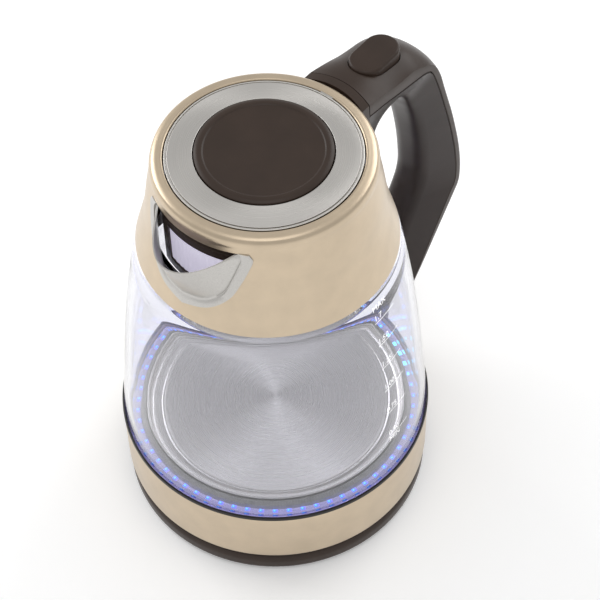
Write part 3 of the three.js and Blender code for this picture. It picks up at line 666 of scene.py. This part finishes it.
def light_cells():
    """Two rows of small lit prisms on the ring's top: bright inner cells and faint outer ones."""
    vertices, faces, core, power = [], [], [], []
    rows = [(70.9, 0.9, 1.0), (73.4, 0.45, 0.4)]
    for k, (middle, half, share) in [(k, row) for row in rows for k in range(PRISMS)]:
        angle = k * math.tau / PRISMS + 0.02
        near = max(math.cos(angle - LAMP_ANGLES[0]), 0)
        strength = share * 2.0 + 1.4 * near**60
        base = len(vertices)
        grid = 6
        for i in range(grid + 1):
            for j in range(grid + 1):
                a, b = 2 * i / grid - 1, 2 * j / grid - 1
                radius = middle + half * a
                turn = angle + 1.3 * b / middle
                dome = 48.45 + 0.35 * (1 - max(abs(a), abs(b)) ** 3)
                vertices.append((radius * math.cos(turn), radius * math.sin(turn), dome))
                core.append(max(0.0, 1 - math.hypot(a * 0.7, b + 0.35) * 0.8) + near**60)
                power.append(strength * (0.5 + 0.5 * min(core[-1], 1)))
        for i in range(grid):
            for j in range(grid):
                at = base + i * (grid + 1) + j
                faces.append([at, at + grid + 1, at + grid + 2, at + 1])
        edge = [(0, j) for j in range(grid)] + [(i, grid) for i in range(grid)]
        edge += [(grid, grid - j) for j in range(grid)] + [(grid - i, 0) for i in range(grid)]
        faces.append([base + i * (grid + 1) + j for i, j in edge])
    mesh = bpy.data.meshes.new("light_cells")
    mesh.from_pydata([tuple(c * MM for c in v) for v in vertices], [], faces)
    for name, values in (("core", core), ("power", power)):
        mesh.attributes.new(name, "FLOAT", "POINT").data.foreach_set("value", values)
    mesh.polygons.foreach_set("use_smooth", [True] * len(mesh.polygons))
    cells = bpy.data.objects.new("light_cells", mesh)
    bpy.context.scene.collection.objects.link(cells)
    placed(cells, "kettle", GLOW, "lamp")


# ---- jug and collar ----
def jug():
    outside = smooth(JUG_OUTSIDE)
    inside = [(radius - JUG_WALL, z) for radius, z in reversed(outside[:-6])]
    glass = turned("jug_glass", [
        (75.3, 44.0, 0.8), (77.2, 44.0, 0.8), *outside, (59.9, 176.6), (57.2, 179.4), (56, 182),
        (54.8, 188), (54.6, 190, 0.8), (51.6, 190, 0.8), (51.9, 187), (53, 181.4), (54.6, 177.8),
        (57.6, 174.6), *inside,
    ], 256, sharp=60)
    placed(glass, "kettle", CLEAR, "glass", "glass_jug")
    outline = [(56.9, 181.5, 0.3), (58.6, 181.5, 0.3), (57.7, 185, 0.3), (56.1, 185, 0.3)]
    seal = turned("upper_gasket", outline)
    placed(seal, "kettle", SILICONE, "silicone", "upper_seal")
    collar()
    spout_lip()
    inner_ring()
    water_filter()
    for side in (0, math.pi):
        scale_marks(side)


def spout_side(inset, per=10):
    side = [(y, z, 1 - y / SPOUT_HALF) for y, z in smooth(SPOUT_SIDE, per)]
    return [(y * (1 - inset / SPOUT_HALF), z + inset * share) for y, z, share in side]


def spout_line(inset, per=10):
    side = spout_side(inset, per)
    return [(-y, z) for y, z in reversed(side[1:])] + side


def spout_window():
    line = spout_line(0)
    return stacked("cutter", [[(x, y, z) for y, z in line] for x in (-85, -40)])


def collar():
    outside = smooth(COLLAR_OUTSIDE, 6)
    inside = smooth(COLLAR_INSIDE, 5)
    shell = turned("collar_sheet", [*outside, *reversed(inside)], 256, sharp=50)
    slot = slab((48, 56), (-3.35, 3.35), (216.85, 220.35))
    placed(cut(shell, spout_window(), slot, sharp=50), "kettle", GOLD, "gold_metal", "collar_shell")


def collar_radius(z):
    return float(np.interp(z, [p[1] for p in COLLAR_OUTSIDE[:-3]], [p[0] for p in COLLAR_OUTSIDE[:-3]]))


def spout_lip():
    """Steel scoop: a flange that lies on the collar, a crease, then the channel out to the pouring rim."""
    root = np.array(spout_line(0, 14))
    across = np.array(spout_line(3.4, 14))
    wide = np.array(spout_line(-0.7, 14))
    steps = [(wide, 0.2, 0.0), (wide, 0.45, 0.0), (root, 0.6, 0.0), (across, 0.35, 0.0), (across, -0.2, 0.02)]
    steps += [(across, -0.9, share) for share in np.linspace(0.06, 1, 20)]
    rim = SPOUT_RIM
    grids = []
    for inset in (0, LIP_SHEET):
        rows = []
        for line, proud, share_out in steps:
            row = []
            for y, z in line:
                share = y / SPOUT_HALF
                start = np.array([-math.sqrt(max((collar_radius(z) + proud) ** 2 - y * y, 0)), y, z])
                end = np.array([
                    rim["depth"] * share * share - rim["tip"], share * rim["half"],
                    rim["tip_z"] + (rim["corner_z"] - rim["tip_z"]) * abs(share) ** 3,
                ])
                point = start + (end - start) * share_out
                point[0] += inset * 0.85 * (1 - abs(share) * 0.7)
                point[1] -= inset * share * 0.9
                point[2] += inset * 0.45 * (1 - share_out) * (1 - abs(share))
                row.append(tuple(point))
            rows.append(row)
        grids.append(rows)
    sections = [outer + inner[::-1] for outer, inner in zip(*grids)]
    placed(lofted("spout_scoop", sections, 45), "kettle", STEEL, "steel", "spout_lip")


def inner_ring():
    ring = turned("mouth_ring", [
        (45.6, 207, 0.4), (52.4, 207, 0.6), (51.2, 214.4), (50.2, 215, 0.4), (50.2, 216.6, 0.4),
        (50.7, 217.2), (50.3, 220.0), (49.8, 222.5, 0.5), (49.4, 224.5, 0.4), (44.9, 224.5, 0.5),
        (44.9, 219, 0.5),
    ])
    gap = slab((-60, -30), (-23, 23), (200, 219.3))
    bolt = slab((40, 56), (-3.35, 3.35), (216.85, 220.35))
    cut(ring, gap, bolt)
    saddles = [slab((44.3, 46.4), (side * 2.75 - 0.85, side * 2.75 + 0.85), (223, 229.5)) for side in (-1, 1)]
    placed(cut(ring, *saddles, how="UNION"), "kettle", BROWN, "brown_plastic", "collar_inner_ring")


def water_filter():
    inner, outer, low, high = (FILTER[key] for key in ("inner", "outer", "low", "high"))
    half, bar = FILTER["half"], FILTER["bar"]
    outline = [(inner, low, 0.5), (outer, low, 0.5), (outer, high, 0.5), (inner, high, 0.5)]
    body = sector("filter_holder", outline, half, -1)
    window = slab((-60, -30), (-half + bar, half - bar), (low + bar, high - bar))
    placed(cut(body, window), "kettle", BROWN, "brown_plastic", "filter_frame")
    middle = (inner + outer) / 2
    side = half - bar - GAP
    rows = []
    for y in np.linspace(-side, side, 60):
        top = high - bar - GAP - 0.5 - 0.45 * math.cos(y * 1.7)
        wave = 0.1 * math.sin(y * 2.2)
        near, far = middle - 0.2 + wave, middle + 0.2 + wave
        ring = [(near, low + bar + GAP), (far, low + bar + GAP), (far, top), (near, top)]
        rows.append([(-math.sqrt(radius**2 - y * y), y, z) for radius, z in ring])
    placed(stacked("filter_gauze", rows, 50), "kettle", MESH, "mesh", "filter_mesh")


def scale_marks(turn):
    """Plain volume numbers and lines printed on the glass."""
    outside = smooth(JUG_OUTSIDE)
    heights = [p[1] for p in outside]
    radii = [p[0] for p in outside]
    first = math.radians(-92.6) + turn
    pieces = []
    for text, z in SCALE_MARKS:
        curve = bpy.data.curves.new("mark", "FONT")
        curve.body = text
        curve.size = 4.6
        curve.resolution_u = 3
        holder = bpy.data.objects.new("mark", curve)
        bpy.context.scene.collection.objects.link(holder)
        graph = bpy.context.evaluated_depsgraph_get()
        mesh = bpy.data.meshes.new_from_object(holder.evaluated_get(graph))
        bpy.data.objects.remove(holder)
        work = bmesh.new()
        work.from_mesh(mesh)
        if text[0] != "M":
            across = np.linspace(0, 15.2, 16)
            strip = [[work.verts.new((x, y, 0)) for y in (-1.5, -1.15)] for x in across]
            for a, b in zip(strip, strip[1:]):
                work.faces.new((a[0], b[0], b[1], a[1]))
        bmesh.ops.triangulate(work, faces=work.faces)
        for vert in work.verts:
            height = z + vert.co.y + 1.3
            radius = np.interp(height, heights, radii) + 0.06
            angle = first + (vert.co.x + 0.4) / radius
            vert.co = Vector((radius * math.cos(angle), radius * math.sin(angle), height)) * MM
        bmesh.ops.recalc_face_normals(work, faces=work.faces)
        work.to_mesh(mesh)
        work.free()
        pieces.append(mesh)
    whole = bmesh.new()
    for mesh in pieces:
        whole.from_mesh(mesh)
    mesh = bpy.data.meshes.new("scale_marks")
    whole.to_mesh(mesh)
    whole.free()
    marks = bpy.data.objects.new("scale_marks_front" if turn == 0 else "scale_marks_back", mesh)
    bpy.context.scene.collection.objects.link(marks)
    placed(marks, "kettle", PRINT, "mesh")


# ---- lid ----
def lid():
    disc, radius, top, disc_top = (LID[key] for key in ("disc", "radius", "top", "disc_top"))
    ring = turned("lid_trim", [
        (disc + 0.4, 230), (radius, 230), (radius, top - 0.1, 0.25), (radius - 0.9, top + 0.1, 0.25),
        (radius - 1.0, 230.15), (radius - 1.35, 230.15), (radius - 1.45, top + 0.2, 0.2),
        (disc + 0.7, top + 1.5, 0.2), (disc + 0.4, top + 1.2, 0.2),
    ], 256)
    placed(ring, "lid", LID_STEEL, "steel", "lid_ring")
    cap = turned("lid_cap", [
        (0, 230), (disc, 230), (disc, disc_top - 0.8, 0.3), (disc - 1.6, disc_top, 1.0),
        (27.6, disc_top, 0.4), (26.9, disc_top - 0.5, 0.4), (0, disc_top - 0.6),
    ], 256, sharp=50)
    placed(cap, "lid", BROWN, "brown_plastic", "lid_disc")
    body = turned("lid_shell", [
        (40.4, 216, 0.4), (42.4, 216, 0.5), (42.4, 226.8, 0.4), (43.4, 227.4, 0.3), (43.4, 229.65, 0.2),
        (0, 229.65), (0, 227.6), (40.4, 227.6),
    ])
    placed(body, "lid", BROWN, "brown_plastic", "lid_body")
    outline = [(42.7, 221.5, 0.3), (44.4, 221.9, 0.4), (44.4, 223.6, 0.4), (42.7, 224, 0.3)]
    seal = turned("lid_gasket", outline)
    placed(seal, "lid", SILICONE, "silicone", "lid_seal")
    plate = turned("lid_lining", [(0, 216), (38, 216), (39, 216, 0.4), (40, 216.8, 0.2), (0, 216.8)])
    placed(plate, "lid", LID_STEEL, "steel", "lid_inner_plate")


# ---- handle ----
def half_width(x, z):
    share = min(max((FLARE["end"] - x) / (FLARE["end"] - FLARE["start"]), 0), 1) if z > FLARE["above"] else 0
    return HANDLE_HALF * (1 + FLARE["most"] * share)


def handle_clearance():
    return turned("cutter", [
        (0, 0), (79.1, 0), (79.1, 52), (70, 60), (66, 170), (65.6, 179), (60.8, 196), (57.5, 214),
        (56.7, 229), (56.7, 240), (0, 240),
    ])


def crown(width, depth, x):
    """Upper side of the handle's section: (height above the seam, sideways) from crease to crease."""
    fall = min(5.2, 0.5 * depth, 0.12 * (x - 30))
    return [(depth - fall * abs(y) ** 2.2, 0.99 * width * y) for y in np.linspace(-1, 1, 29)]


def handle_cover():
    outer, seam = smooth(HANDLE_OUTER, 5), smooth(HANDLE_SEAM, 5)
    sections = []
    for low, high in zip(np.array(seam), np.array(outer)):
        depth = np.linalg.norm(high - low)
        width = half_width(*low)
        top = crown(width, depth, low[0])
        crease = top[0][0]
        side = [(0.0, width - 0.4), (0.4, width), (crease * 0.55, width), (crease - 0.4, width * 0.997)]
        line = [(a, -y) for a, y in side] + top + side[::-1]
        inner = [(a * (1 - WALL / depth), y * (1 - WALL / width)) for a, y in line]
        toward = (high - low) / depth
        sections.append([(low[0] + toward[0] * a, y, low[1] + toward[1] * a) for a, y in line + inner[::-1]])
    cover = lofted("handle_top_shell", sections, 28)
    opening = stacked("cutter", [stadium(BUTTON["radius"] + 0.4, z) for z in (215, 240)])
    cut(cover, opening, handle_clearance(), sharp=28)
    placed(cover, "kettle", BROWN, "brown_plastic", "handle_cover")


def handle_grip():
    """Lower shell of the handle: slanting sides, rounded corners and a narrow inner face."""
    seam, inner_line = smooth(HANDLE_SEAM, 5), smooth(HANDLE_INNER, 5)
    sections = []
    for high, low in zip(np.array(seam), np.array(inner_line)):
        depth = np.linalg.norm(high - low)
        width = half_width(*high)
        line = eased([
            (GAP, 0.4 - width), (GAP + 0.4, -width), (depth, -0.5 * width, 5.5), (depth, 0.5 * width, 5.5),
            (GAP + 0.4, width), (GAP, width - 0.4),
        ], False, 8)
        inside = [(a * (1 - WALL / depth), y * (1 - WALL / width)) for a, y in line]
        toward = (low - high) / depth
        loop = line + inside[::-1]
        sections.append([(high[0] + toward[0] * a, y, high[1] + toward[1] * a) for a, y in loop])
    grip = lofted("handle_grip_shell", sections, 30)
    bolt = slab((45, 80), (-3.35, 3.35), (216.85, 230))
    placed(cut(grip, handle_clearance(), bolt, sharp=30), "kettle", GRIP_BROWN, "grip_plastic", "handle_grip")


def stadium(radius, z):
    reach = BUTTON["straight"] / 2
    points = []
    for side, start in ((1, -math.pi / 2), (-1, math.pi / 2)):
        for t in np.linspace(start, start + math.pi, 24):
            points.append((BUTTON["x"] + side * reach + radius * math.cos(t), radius * math.sin(t), z))
    return points


def release_button():
    radius, low, high = (BUTTON[key] for key in ("radius", "low", "high"))
    levels = [(radius, low), (radius, high - 1.3), (radius - 0.1, high - 0.8), (radius - 0.4, high - 0.35),
              (radius - 0.9, high - 0.05), (radius - 1.2, high), (radius - 6, high)]
    cap = stacked("release_key", [stadium(r, z) for r, z in levels], 40)
    tip = slab((BUTTON["x"] + 1, BUTTON["x"] + 2.2), (-2, 2), (220.8, 224.4))
    placed(cut(cap, tip, how="UNION", sharp=40), "button", BROWN, "brown_plastic", "release_button")
    # the spring under the key gets a mesh of its own
    spring = frame["nodes"]["button_spring"]
    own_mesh(spring)


def junction():
    """Seat between arm and collar, cut to the arm's own section so that both are flush."""
    piece = sector("junction_seat", [
        (65.1, 178, 0.5), (65.2, 179.5, 0.5), (60.4, 196, 3), (57.1, 214, 3), (56.2, 230.2), (51.75, 230.2),
        (51.8, 227.2), (51.95, 223), (54.15, 211), (56.7, 196), (61.7, 178, 0.3),
    ], 17.5, 1, 40)
    seam, half = 219.8, 17.25
    top = [(y, seam + a) for a, y in crown(half, 229.8 - seam, 54)]
    arm = [
        *top, (half, seam + 1), (half, seam - 2), (10, 177), (-10, 177), (-half, seam - 2), (-half, seam + 1),
    ]
    section = stacked("cutter", [[(x, y, z) for y, z in arm] for x in (40, 75)])
    cut(piece, section, how="INTERSECT")
    slot = slab((45, 70), (-3.35, 3.35), (216.85, 220.35))
    placed(cut(piece, slot), "kettle", BROWN, "brown_plastic", "junction_piece")


# ---- studio ----
def area_light(name, place, target, size, power, color=(1, 1, 1)):
    light = bpy.data.lights.new(name, "AREA")
    light.shape = "RECTANGLE"
    light.size, light.size_y = size
    light.energy = power
    light.color = color
    holder = bpy.data.objects.new(name, light)
    bpy.context.scene.collection.objects.link(holder)
    holder.location = place
    holder.rotation_euler = (Vector(target) - Vector(place)).to_track_quat("-Z", "Y").to_euler()
    return holder


def studio():
    size = 6.0
    corners = [(-size, -size, 0), (size, -size, 0), (size, size, 0), (-size, size, 0)]
    mesh = bpy.data.meshes.new("floor")
    mesh.from_pydata(corners, [], [(0, 1, 2, 3)])
    floor = bpy.data.objects.new("floor", mesh)
    bpy.context.scene.collection.objects.link(floor)
    look = Look("floor_white", (0.97, 0.97, 0.97, 1.0), 0.9)
    look.set("Emission Color", (1.0, 1.0, 1.0, 1.0))
    look.set("Emission Strength", 0.17)
    look.bump(look.noise(40, 2), 0.02, 0.2)
    mesh.materials.append(look.material)

    world = bpy.data.worlds.new("studio")
    bpy.context.scene.world = world
    world.use_nodes = True
    world.node_tree.nodes["Background"].inputs["Color"].default_value = (1, 1, 1, 1)
    world.node_tree.nodes["Background"].inputs["Strength"].default_value = 0.66
    middle = (0, 0, 0.12)
    area_light("top_softbox", (-0.25, -0.2, 1.7), middle, (0.8, 0.8), 2.2)
    area_light("left_softbox", (-0.15, 1.35, 0.8), middle, (0.9, 0.9), 8)
    area_light("right_softbox", (1.35, -0.15, 0.95), middle, (0.9, 0.9), 6)
    bpy.context.scene.view_settings.view_transform = "Standard"


def camera():
    """Camera at the photograph's viewpoint."""
    heading = math.radians(48.5) + 0.02517
    pitch = 0.91233
    roll = -0.02745
    lens = bpy.data.cameras.new("view")
    lens.lens = 112.74
    lens.sensor_width = 36
    lens.clip_start = 0.05
    holder = bpy.data.objects.new("view", lens)
    bpy.context.scene.collection.objects.link(holder)
    turn = Matrix.Rotation(-heading, 4, "Z") @ Matrix.Rotation(math.pi / 2 - pitch, 4, "X")
    place = Matrix.Translation((-0.4180, -0.3698, 0.8453))
    holder.matrix_world = place @ turn @ Matrix.Rotation(roll, 4, "Z")
    bpy.context.scene.camera = holder


dress_cad_nodes()
power_base()
kettle_base()
heater()
jug()
lid()
junction()
handle_cover()
handle_grip()
release_button()
studio()
camera()
